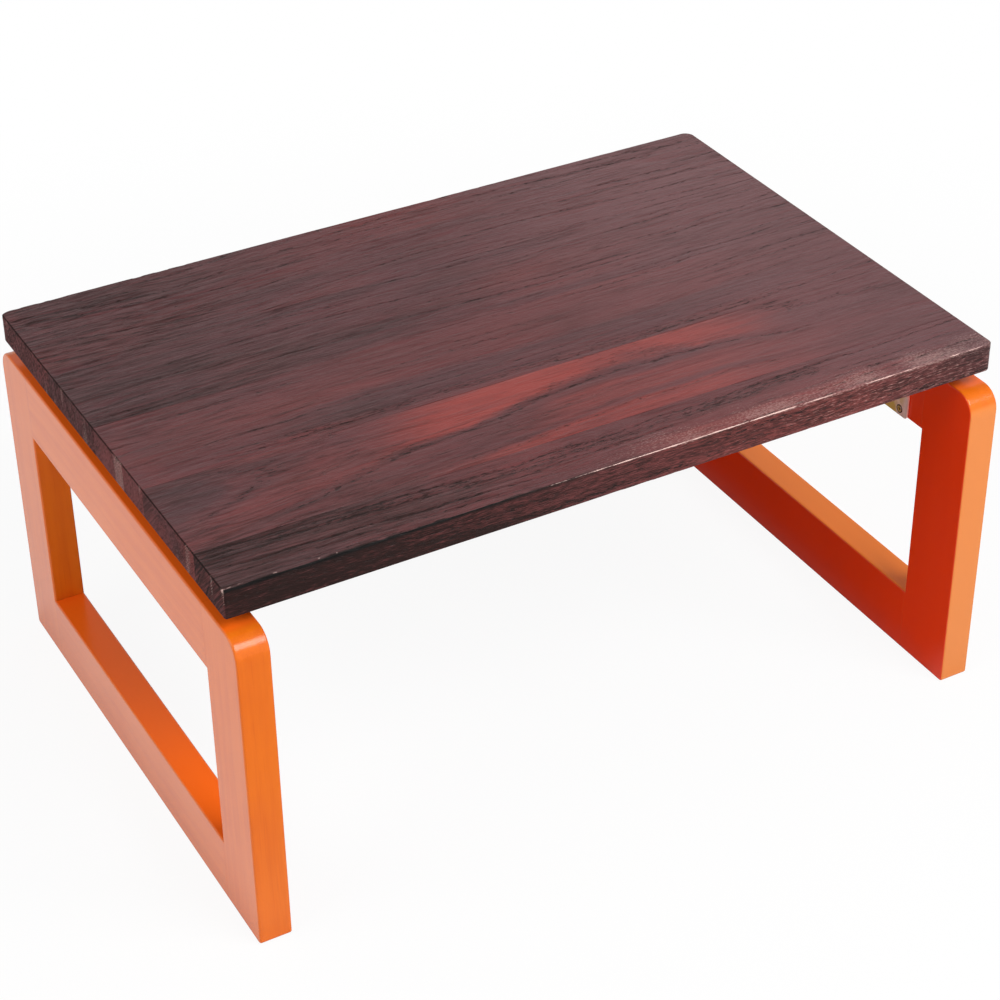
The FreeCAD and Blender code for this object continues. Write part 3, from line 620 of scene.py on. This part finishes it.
class Wood:
    """The grain of one board at points of its surface. Places are in metres, and most of what its
    methods give is a share from 0 to 1."""

    def __init__(self, board, points, near_edge, near_corner, low, high, seams):
        self.board = board
        self.seams = seams
        self.x, self.y, self.z = points.T
        self.near_edge = near_edge
        self.near_corner = near_corner
        self.low, self.high = low, high
        self.left = smooth_step(-self.x, -0.02, 0.22)
        front = 1 - smooth_step(self.y, low[1] + 0.1 * MM, low[1] + 0.9 * MM)
        self.on_front = front * (1 - smooth_step(self.z, high[2] - 1.3 * MM, high[2] - 0.4 * MM))
        self.on_end = smooth_step(np.abs(self.x), high[0] - 1.2 * MM, high[0] - 0.3 * MM)
        self.upper = smooth_step(self.z, high[2] - 3 * MM, high[2] - 1.5 * MM)
        wave = 3.2 * (self.blur(50, 26, 2) - 0.5) + 1.6 * (self.blur(20, 11, 3) - 0.5)
        wave = wave + 0.7 * (self.blur(8, 5, 29) - 0.5)
        self.across = self.y + self.z + wave * MM
        places, middles, depths = MM * np.array(board.pith).T
        side = self.y - eased(self.x, places, middles)
        below = self.z - high[2] + eased(self.x, places, depths)
        wander = 2.4 * (self.blur(38, 14, 4) - 0.5) + 1.2 * (self.blur(13, 7, 5) - 0.5)
        self.radius = np.hypot(side, below) + wander * MM

    def field(self, u, v, draw):
        """One of the board's random fields, told apart by a number, one cell to each unit."""
        return noise(u, v, self.board.seed + draw)

    def blur(self, along, across, draw):
        """A random field with cells of a length and a width in millimetres."""
        return self.field(self.x / (along * MM), (self.y + self.z) / (across * MM), draw)

    def strand(self, along, across, draw):
        """A random field that follows the fibres, with cells in millimetres."""
        return self.field(self.x / (along * MM), self.across / (across * MM), draw)

    def drift(self, along, draw):
        """A random field that varies along the board alone, with cells in millimetres."""
        return self.field(self.x / (along * MM), 0 * self.x, draw)

    def coordinates(self):
        """Along the fibres, across them and out from the pith, shifted for each board."""
        return np.stack([self.x + self.board.seed, self.across, self.radius], 1)

    def porous(self):
        """How porous the wood is: most in the first growth of each ring."""
        ring = self.radius / (self.board.ring * MM)
        number = np.floor(ring)
        strength = self.field(number * 7.3, self.x / 0.11, 6)
        early = window(ring - number, 0, 0.45, 0.18)
        porous = self.board.pores * early * smooth_step(strength, 0.25, 0.8)
        for line in self.board.lines:
            near = np.exp(-((self.radius / MM - line.radius) / line.half) ** 2)
            broken = 0.55 + 0.9 * (self.blur(16, 9, 7) - 0.3)
            inside = window(self.x / MM, line.start, line.end, LINE_FADE)
            porous = porous + line.strength * near * broken * inside
        return np.clip(porous, 0, 1)

    def ember(self):
        """How red the wood is."""
        board = self.board
        red = board.red + board.swing * (self.strand(90, 11, 8) + self.blur(60, 30, 9) - 1)
        for streak in board.streaks:
            fade = min(4, (streak.far - streak.near) / 2.4)
            inside = window(self.radius / MM, streak.near, streak.far, fade)
            broken = 0.6 + 0.8 * self.strand(55, 2.8, 28)
            inside = inside * window(self.x / MM, streak.start, streak.end, STREAK_FADE)
            red = red + streak.strength * inside * broken
        ends = smooth_step(-self.x, 0.270, 0.296) * smooth_step(self.blur(14, 34, 10), 0.35, 0.75)
        red = red + 0.10 * ends * self.upper - 0.12 * smooth_step(self.x, 0.14, 0.28)
        return red + 0.16 * self.on_front + 0.14 * self.on_end

    def char_and_shade(self):
        """How dark the burn is, darker to the left partly as painted shade, with a painted shadow line
        along the upper edges, most on the left half of the front edge.
        """
        # Darker towards the left: partly a heavier burn, partly painted shade
        burnt = self.board.char * (0.30 + 0.85 * self.left) + 0.20 * (self.strand(120, 16, 11) - 0.5)
        ends = np.abs(self.x) > self.high[0] - 3 * MM
        # Painted shadow line under the upper edges, strongest on the left half of the front edge
        line = self.near_edge * smooth_step(self.high[2] - self.z, 0.1 * MM, 0.5 * MM)
        line = line * self.upper * np.where(ends, 0.8, 0.15 + 2.2 * self.left)
        bite = 2.5 * MM * self.drift(7, 30)
        bitten = smooth_step(bite - self.y + self.low[1], 0, 0.6 * MM) * self.upper * self.left
        face = self.on_front * (0.43 + 0.12 * self.left)
        return burnt + line + 0.8 * bitten + face + 0.19 * self.on_end

    def worn(self):
        """How worn the wood is: most along the right half of the upper front edge, where the line is
        partly wear and partly a painted highlight of the softbox.
        """
        from_front = self.y - self.low[1]
        right = smooth_step(self.x, -0.13, 0.02)
        wander = 0.55 * self.drift(22, 12) + 0.45 * self.drift(7, 23)
        # Along the upper front edge: partly wear, partly a painted highlight of the softbox
        line = smooth_step(self.near_edge, 0.35, 0.95) * self.upper * (from_front < 2.5 * MM)
        line = line * right * (0.16 + 1.50 * wander - 0.62 * smooth_step(self.x, 0.12, 0.18))
        chips = window(from_front, 0.8 * MM, 3.4 * MM, 0.6 * MM) * self.upper * self.left
        chips = chips * smooth_step(self.field(self.x / 0.0032, self.y / 0.0011, 24), 0.62, 0.85)
        face = self.on_front * (0.05 + 0.31 * smooth_step(self.x, -0.05, 0.20))
        # On the left corners: partly wear, partly a painted reflection
        corner = 0.10 * self.near_corner * (self.x < 0)
        bars = self.field(self.y / 0.0055, self.z / 0.05, 14)
        bars = self.on_end * smooth_step(bars, 0.3, 0.9) * smooth_step(self.blur(40, 34, 27), 0.15, 0.6)
        return line + 0.62 * chips + face + corner + 0.51 * bars

    def painted_glints(self):
        """How many painted glints lie on the wood, as light specks: most near the right half of the front
        edge.
        """
        near = smooth_step(self.low[1] - self.y, -0.045, -0.003)
        near = near * smooth_step(self.x, -0.10, 0.06) * self.upper
        return 0.62 * near * (0.5 + 0.7 * self.blur(24, 12, 13))

    def bleached(self):
        """How much painted light lightens the wood: most towards the back of the right end."""
        right = smooth_step(self.x, -0.02, 0.24) * self.upper * (1 - self.on_front)
        return 0.75 * right * (0.45 + 0.55 * smooth_step(self.y, -0.12, 0.15))

    def front(self):
        """Where the table's front face is."""
        return self.on_front

    def end(self):
        """Where the grain ends."""
        return self.on_end

    def brushed(self):
        """How rough brushing has left the wood."""
        patches = smooth_step(self.blur(110, 40, 15), 0.3, 0.8)
        rough = self.board.rough * (0.45 + 0.45 * self.left + 0.5 * patches)
        rough = rough * (1 - 0.5 * np.clip(self.ember() - 0.4, 0, 1)) * (1 - 0.6 * self.on_front)
        return np.clip(rough + self.on_front * 0.45 * (1 - self.left), 0, 1.3)

    def relief(self, settings):
        """How far brushing and wear take the surface back, in metres."""
        ridges = 0.8 * self.strand(60, 7.5, 16) + 0.6 * self.strand(34, 3.1, 17)
        fine = 0.35 * self.strand(13, 1.6, 18)
        long_lines = (1 - np.abs(2 * self.strand(38, 8, 25) - 1)) ** 6
        short_lines = (1 - np.abs(2 * self.strand(24, 5, 26) - 1)) ** 5
        torn = (1.5 * long_lines + 0.8 * short_lines) * smooth_step(self.blur(70, 22, 19), 0.35, 0.75)
        early = 0.9 * self.porous() * (0.4 + self.strand(5, 1.6, 20))
        brushed = self.brushed() * (ridges + fine + torn - 0.3) + early
        faces = smooth_step(self.z, self.high[2] - 0.02, self.high[2] - 0.004) * 0.8 + 0.2
        grooves = settings.groove_depth * np.clip(brushed, 0, None) * faces * (1 - 0.7 * self.on_end)
        for place in self.seams:
            near = 1 - smooth_step(np.abs(self.y - place), 0, 2.5 * MM)
            shared = settings.groove_depth * (0.2 + 0.6 * noise(self.x / 0.03, place / MM + 0 * self.x, 5))
            grooves = grooves * (1 - near) + shared * near * faces
        chipped = smooth_step(self.field(self.x / 0.0055, self.z / 0.003, 21), 0.5, 0.85)
        chipped = chipped * smooth_step(self.blur(60, 50, 22), 0.35, 0.65) * (0.25 + 1.2 * self.left)
        return grooves * (1 - 0.8 * self.near_edge) + settings.chip_depth * chipped * self.near_edge


class FOLDING_TABLE_OT_boards(bpy.types.Operator):
    """Model the boards of the tabletop, with growth rings, brushed grooves and worn edges"""

    bl_idname = "folding_table.boards"
    bl_label = "Tabletop boards"

    def execute(self, context):
        settings = context.scene.folding_table_top
        wood = brushed_wood(settings)
        boxes = [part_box(board.node) for board in BOARDS]
        low, high = np.min([box[0] for box in boxes], 0), np.max([box[1] for box in boxes], 0)
        edge = settings.edge_radius
        on_edge = edge * np.array(ON_EDGE)
        outer = edge * np.array(ON_EDGE + PAST_EDGE)
        for board, (near, far) in zip(BOARDS, boxes):
            first, last = near[1] < low[1] + edge, far[1] > high[1] - edge
            along = settings.step_along * (FINER_FRONT if first else 1)
            xs = divisions(low[0], high[0], along, outer, outer)
            ys = divisions(near[1], far[1], settings.step_across, outer if first else (0,),
                           outer if last else (0,))
            zs = divisions(low[2], high[2], STEP_DOWN, on_edge, on_edge)
            points, faces, flat = shell(xs, ys, zs)
            points, outward, *near_to = round_slab(points, low, high, settings.corner_radii, edge)
            seams = [place for place, outer_side in ((near[1], first), (far[1], last)) if not outer_side]
            grain = Wood(board, points, *near_to, low, high, seams)
            points = points - outward * grain.relief(settings)[:, None]
            piece = new_piece(board.node.replace("top_board", "board"), points, faces, wood, "tabletop",
                              BOARD_CREASE)
            layer = piece.data.uv_layers.new(name="OFBake")
            layer.data.foreach_set("uv", flat.astype(np.float32).ravel())
            store(piece.data, "grain", grain.coordinates())
            for name in MARKS:
                store(piece.data, name, getattr(grain, name)())
            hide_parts(board.node)
        return {"FINISHED"}


# Leg frames

def dress(node, material):
    """Give a node of the frame its material."""
    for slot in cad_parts[node].material_slots:
        slot.material = material


class FOLDING_TABLE_OT_legs(bpy.types.Operator):
    """Lacquer the posts and rails of the two leg frames, and finish the dowels inside them"""

    bl_idname = "folding_table.legs"
    bl_label = "Leg frames"

    def execute(self, context):
        settings = context.scene.folding_table_legs
        dowel = plain_wood("beech", colour=(0.62, 0.42, 0.24), darker=(0.46, 0.28, 0.14))
        for number, side in enumerate(SIDES):
            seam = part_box(f"{side}_top_rail")[1].y
            for turn, row in enumerate(ROWS):
                name = f"{side}_{row}_post"
                shift = (3.1 * number + 0.7, 5.3 * turn + 0.4, 1.9 * number)
                dress(name, lacquered_wood(name, settings, 2, shift, settings.painted_light_tops))
            for turn, rail in enumerate(("top_rail", "bottom_rail")):
                name = f"{side}_{rail}"
                shift = (2.3 * number + 8.2, 1.7 * turn + 2.6, 4.1 * turn)
                # Painted light on the rail tops, brightest on the right bottom rail
                upper = settings.painted_light_low_rail if name == "right_bottom_rail" else settings.painted_light_tops
                dress(name, lacquered_wood(name, settings, 1, shift, upper, seam))
            dress(f"{side}_leg_dowels", dowel)
        return {"FINISHED"}


# Brackets

class FOLDING_TABLE_OT_brackets(bpy.types.Operator):
    """Plate the folding brackets, their pins and rivets, and blue the spring catches"""

    bl_idname = "folding_table.brackets"
    bl_label = "Folding brackets"

    def execute(self, context):
        settings = context.scene.folding_table_brackets
        zinc = plated_metal("yellow_plating", settings.zinc, settings.bloom, 0.26, metallic=0.42, lean=28)
        steel = plated_metal("pin_steel", settings.steel, settings.zinc, 0.24, sheen_scale=30)
        spring = plated_metal("blued_steel", settings.blued, settings.steel, 0.30, sheen_scale=18)
        for side in SIDES:
            for row in ROWS:
                dress(f"{side}_{row}_table_plate", zinc)
                dress(f"{side}_{row}_leg_plate", zinc)
                dress(f"{side}_{row}_pivot_pin", steel)
                dress(f"{side}_{row}_spring_catch", spring)
        dress("catch_rivets", steel)
        return {"FINISHED"}


# Screws

# Radii of a screw's head and shank, and how near to each other the points of one head lie
SCREW_HEAD, SCREW_SHANK = 3.4 * MM, 1.75 * MM
HEAD_WIDTH = 8 * MM
# Rows of a screw's mesh across its head, and down one turn of its thread
FACE_ROWS, THREAD_STEPS = 15, 8


def lathe(radii, heights):
    """Points and faces of a turned form, given a radius and a height for each row and side, and
    closed by one point at each end."""
    rows, sides = radii.shape
    angle = np.arange(sides) * 2 * math.pi / sides
    skin = np.stack([radii * np.cos(angle), radii * np.sin(angle), heights], -1).reshape(-1, 3)
    ends = np.array([[0, 0, heights[0].min()], [0, 0, heights[-1].min()]])
    number = np.arange(rows * sides).reshape(rows, sides)
    number = np.column_stack([number, number[:, 0]])
    faces = grid_faces(number).tolist()
    first, last = rows * sides, rows * sides + 1
    faces += [[first, a, b] for a, b in zip(number[0], number[0, 1:])]
    faces += [[last, b, a] for a, b in zip(number[-1], number[-1, 1:])]
    return np.vstack([skin, ends]), faces


def screw_form(length, settings):
    """A countersunk screw with its head's face at the origin and its tip down."""
    head, shank = SCREW_HEAD, SCREW_SHANK
    sides = settings.screw_sides
    angle = np.arange(sides) * 2 * math.pi / sides
    face = np.linspace(0.04, 0.97, FACE_ROWS)[:, None] * head * np.ones(sides)
    u, v = np.abs(face * np.cos(angle)), np.abs(face * np.sin(angle))
    arm, half = 0.56 * head, 0.13 * head
    bar_u = smooth_step(-u, -arm, -0.88 * arm) * smooth_step(-v, -half, -0.6 * half)
    bar_v = smooth_step(-v, -arm, -0.88 * arm) * smooth_step(-u, -half, -0.6 * half)
    taper = 1 - 0.55 * np.maximum(u, v) / arm
    face_height = -settings.recess_depth * np.maximum(bar_u, bar_v) * np.clip(taper, 0, 1)

    rim, pitch = 0.3 * MM, settings.thread_pitch
    cone = head - shank
    neck = np.array([[head, -0.06 * MM], [head, -rim], [shank + 0.35 * cone, -rim - 0.65 * cone],
                     [shank, -rim - cone]])
    step = pitch / THREAD_STEPS
    below = np.arange(-rim - cone - step, -length + 0.1 * MM, -step)
    turns = (below[:, None] / pitch + angle / (2 * math.pi)) % 1
    thread = 1 - 0.26 * smooth_step(np.abs(turns - 0.5), 0.08, 0.34)
    point = np.clip((below + length) / (3 * MM), 0.06, 1)[:, None]
    radii = np.vstack([face, neck[:, :1] * np.ones(sides), shank * thread * point])
    heights = np.vstack([face_height, neck[:, 1:] * np.ones(sides), below[:, None] * np.ones(sides)])
    # Painted shade in the cross recess, in a ring near the head's edge and at its middle
    painted_recess_shade = np.zeros(radii.shape)
    painted_recess_shade[:FACE_ROWS] = np.maximum(bar_u, bar_v) + smooth_step(face, 0.66 * head, 0.82 * head)
    painted_recess_shade[FACE_ROWS] = 0.9
    points, faces = lathe(radii, heights)
    return points, faces, np.append(np.clip(painted_recess_shade, 0, 1), (0.8, 0))


def screw_heads(node, axis, facing):
    """Where the screws of a node have their heads, found from the frame's mesh."""
    points = np.array([vertex.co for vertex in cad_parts[node].data.vertices])
    flat = [n for n in range(3) if n != axis]
    level = (points[:, axis] * facing).max() * facing
    rim = points[np.abs(points[:, axis] - level) < 0.05 * MM]
    heads = []
    while len(rim):
        same = np.linalg.norm(rim[:, flat] - rim[0, flat], axis=1) < HEAD_WIDTH
        heads.append((rim[same].min(0) + rim[same].max(0)) / 2)
        rim = rim[~same]
    return heads


class FOLDING_TABLE_OT_screws(bpy.types.Operator):
    """Model the countersunk screws, with cross recess and thread"""

    bl_idname = "folding_table.screws"
    bl_label = "Wood screws"

    def execute(self, context):
        settings = context.scene.folding_table_brackets
        # The colour of the painted shade in the screws' recesses
        metal = plated_metal("screw_plating", settings.zinc, settings.bloom, 0.22, metallic=0.55,
                             sheen_scale=130, painted_recess_shade=(0.015, 0.008, 0.004))
        groups = (("table_plate_screws", "tabletop", 2, -1),
                  ("left_leg_plate_screws", "left_leg", 0, 1),
                  ("right_leg_plate_screws", "right_leg", 0, -1))
        for node, body, axis, facing in groups:
            low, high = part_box(node)
            heads = screw_heads(node, axis, facing)
            length = high[axis] - low[axis]
            points, faces, painted_recess_shade = screw_form(length, settings)
            outward = Vector([facing if n == axis else 0 for n in range(3)])
            aim = outward.to_track_quat("Z", "Y").to_matrix()
            all_points, all_faces = [], []
            for number, head in enumerate(heads):
                turn = np.array(aim @ Matrix.Rotation(2.4 * number, 3, "Z"))
                offset = number * len(points)
                all_points.append(points @ turn.T + head)
                all_faces += [[corner + offset for corner in face] for face in faces]
            piece = new_piece(node.replace("plate_screws", "screws"), np.vstack(all_points), all_faces,
                              metal, body, SCREW_CREASE)
            store(piece.data, "painted_recess_shade", np.tile(painted_recess_shade, len(heads)))
            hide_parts(node)
        return {"FINISHED"}


# Stage

# How far the floor reaches from the middle, and how far below the feet it lies
FLOOR_REACH, FLOOR_DROP = 9, 0.2 * MM


def rays(nodes):
    """1 for a camera ray, and 1 for a ray that a gloss or glass sends on."""
    camera, glossy, clear = [nodes.node("ShaderNodeLightPath", output=number) for number in (0, 3, 6)]
    return camera, nodes.larger(glossy, clear)


def floor_material(settings, low, high):
    """Pale floor that turns plain white away from the table and keeps its shadow near it. A gloss sees
    a painted glow instead, with painted shade that makes it dark under the table and dim in front of the
    left half."""
    surface = Surface("pale_floor")
    place = surface.place()
    camera, gloss = rays(surface)
    distance = surface.node("ShaderNodeVectorMath", {"operation": "LENGTH"}, {0: place})
    seen = surface.step(distance, 0.40, 1.10, 0.92, 1.0)
    beside = [surface.step(surface.magnitude(surface.axis(place, n)), half - 0.05, half + 0.03)
              for n, half in enumerate(((high.x - low.x) / 2, (high.y - low.y) / 2))]
    outside = surface.larger(*beside)
    behind = surface.step(surface.axis(place, 1), low.y - 0.20, low.y + 0.05)
    right = surface.step(surface.axis(place, 0), 0.0, high.x + 0.08)
    # Painted shade for gloss rays: dark under the table, dim in front of the left half
    painted_gloss_glow = outside * (0.26 + 0.68 * surface.larger(behind, right))
    surface.shade(Base_Color=settings.floor_colour, Roughness=0.8, Specular_IOR_Level=0.0)
    white = surface.mix(camera + (1 - camera) * painted_gloss_glow, (0, 0, 0), (1, 1, 1))
    glow = surface.node("ShaderNodeEmission", None, {"Color": white})
    share = camera * seen + gloss
    mixed = surface.node("ShaderNodeMixShader", None,
                         {0: share, 1: Field(surface, surface.shader.outputs[0]), 2: glow})
    surface.feed(surface.tree.nodes["Material Output"].inputs["Surface"], mixed)
    return surface.material


def light_world(settings):
    """Even light from all round, white where it is seen, under a darker ceiling."""
    world = bpy.data.worlds.new("studio")
    world.use_nodes = True
    nodes = Nodes(world.node_tree)
    background = nodes.tree.nodes["Background"]
    camera, gloss = rays(nodes)
    height = nodes.axis(nodes.node("ShaderNodeTexCoord", output=0), 2)
    walls = nodes.step(height, 0.42, 0.66, 1.0, settings.ceiling)
    around = nodes.step(height, 0.0, 0.7, 1.4 * settings.ambient, 0.7 * settings.ambient)
    strength = camera + (1 - camera) * (gloss * walls + (1 - gloss) * around)
    nodes.feed(background.inputs["Color"], (1, 1, 1))
    nodes.feed(background.inputs["Strength"], strength)
    bpy.context.scene.world = world


def stand(name, data, place, turn):
    """Put a lamp or a camera at a place."""
    made = new_object(name, data)
    made.location = place
    made.rotation_mode = "QUATERNION"
    made.rotation_quaternion = turn
    return made


def softbox(name, direction, distance, size, power, aim):
    """A rectangular lamp in a direction from the place that it points at."""
    lamp = bpy.data.lights.new(name, "AREA")
    lamp.shape = "RECTANGLE"
    lamp.size, lamp.size_y = size
    lamp.energy = power
    away = Vector(direction).normalized()
    stand(name, lamp, aim + distance * away, away.to_track_quat("Z", "Y"))


class FOLDING_TABLE_OT_stage(bpy.types.Operator):
    """Set up the floor, the soft light and the camera"""

    bl_idname = "folding_table.stage"
    bl_label = "Stage"

    def execute(self, context):
        settings = context.scene.folding_table_stage
        steps = np.arange(-FLOOR_REACH, FLOOR_REACH + 1)
        x, y = np.meshgrid(steps, steps, indexing="ij")
        height = np.full(x.size, CAD_BOX[0][2] - FLOOR_DROP)
        points = np.stack([x.ravel(), y.ravel(), height], 1)
        faces = grid_faces(np.arange(x.size).reshape(x.shape))
        floor = new_mesh("floor", points, faces, floor_material(settings, *CAD_BOX))

        light_world(settings)
        middle = Vector((0, 0, 0.2))
        softbox("key_softbox", (0.28, -0.65, 0.70), 2.3, (1.5, 0.9), settings.key_power, middle)
        softbox("fill_softbox", (-0.80, -0.12, 0.64), 2.6, (1.6, 1.1), settings.fill_power, middle)

        camera = bpy.data.cameras.new("camera")
        camera.lens = settings.focal_length
        camera.clip_start, camera.clip_end = 0.05, 60
        flat = math.cos(settings.elevation)
        look = Vector((-math.sin(settings.azimuth) * flat, math.cos(settings.azimuth) * flat,
                       -math.sin(settings.elevation)))
        turn = look.to_track_quat("-Z", "Y") @ Quaternion((0, 0, 1), settings.roll)
        context.scene.camera = stand("camera", camera, settings.camera_place, turn)
        context.scene.view_settings.view_transform = "Standard"
        return {"FINISHED"}


class FOLDING_TABLE_PT_panel(bpy.types.Panel):
    """Lists the settings and the pieces of the table"""

    bl_idname = "FOLDING_TABLE_PT_panel"
    bl_label = "Folding Coffee Table"
    bl_space_type = "VIEW_3D"
    bl_region_type = "UI"
    bl_category = "Table"

    def draw(self, context):
        for attribute, settings in SETTINGS.items():
            box = self.layout.box()
            for name in settings.__annotations__:
                box.prop(getattr(context.scene, attribute), name)
        for operator in OPERATORS:
            self.layout.operator(operator.bl_idname)


SETTINGS = {
    "folding_table_top": TabletopSettings,
    "folding_table_legs": LegSettings,
    "folding_table_brackets": BracketSettings,
    "folding_table_stage": StageSettings,
}
OPERATORS = (FOLDING_TABLE_OT_stage, FOLDING_TABLE_OT_boards, FOLDING_TABLE_OT_legs,
             FOLDING_TABLE_OT_brackets, FOLDING_TABLE_OT_screws)


def register():
    for kind in (*SETTINGS.values(), *OPERATORS, FOLDING_TABLE_PT_panel):
        bpy.utils.register_class(kind)
    for attribute, settings in SETTINGS.items():
        setattr(bpy.types.Scene, attribute, PointerProperty(type=settings))


def unregister():
    for attribute in SETTINGS:
        delattr(bpy.types.Scene, attribute)
    for kind in (FOLDING_TABLE_PT_panel, *reversed(OPERATORS), *reversed(SETTINGS.values())):
        bpy.utils.unregister_class(kind)


def main():
    """Make every piece."""
    register()
    bpy.ops.folding_table.stage()
    bpy.ops.folding_table.boards()
    bpy.ops.folding_table.legs()
    bpy.ops.folding_table.brackets()
    bpy.ops.folding_table.screws()


if __name__ == "__main__":
    main()
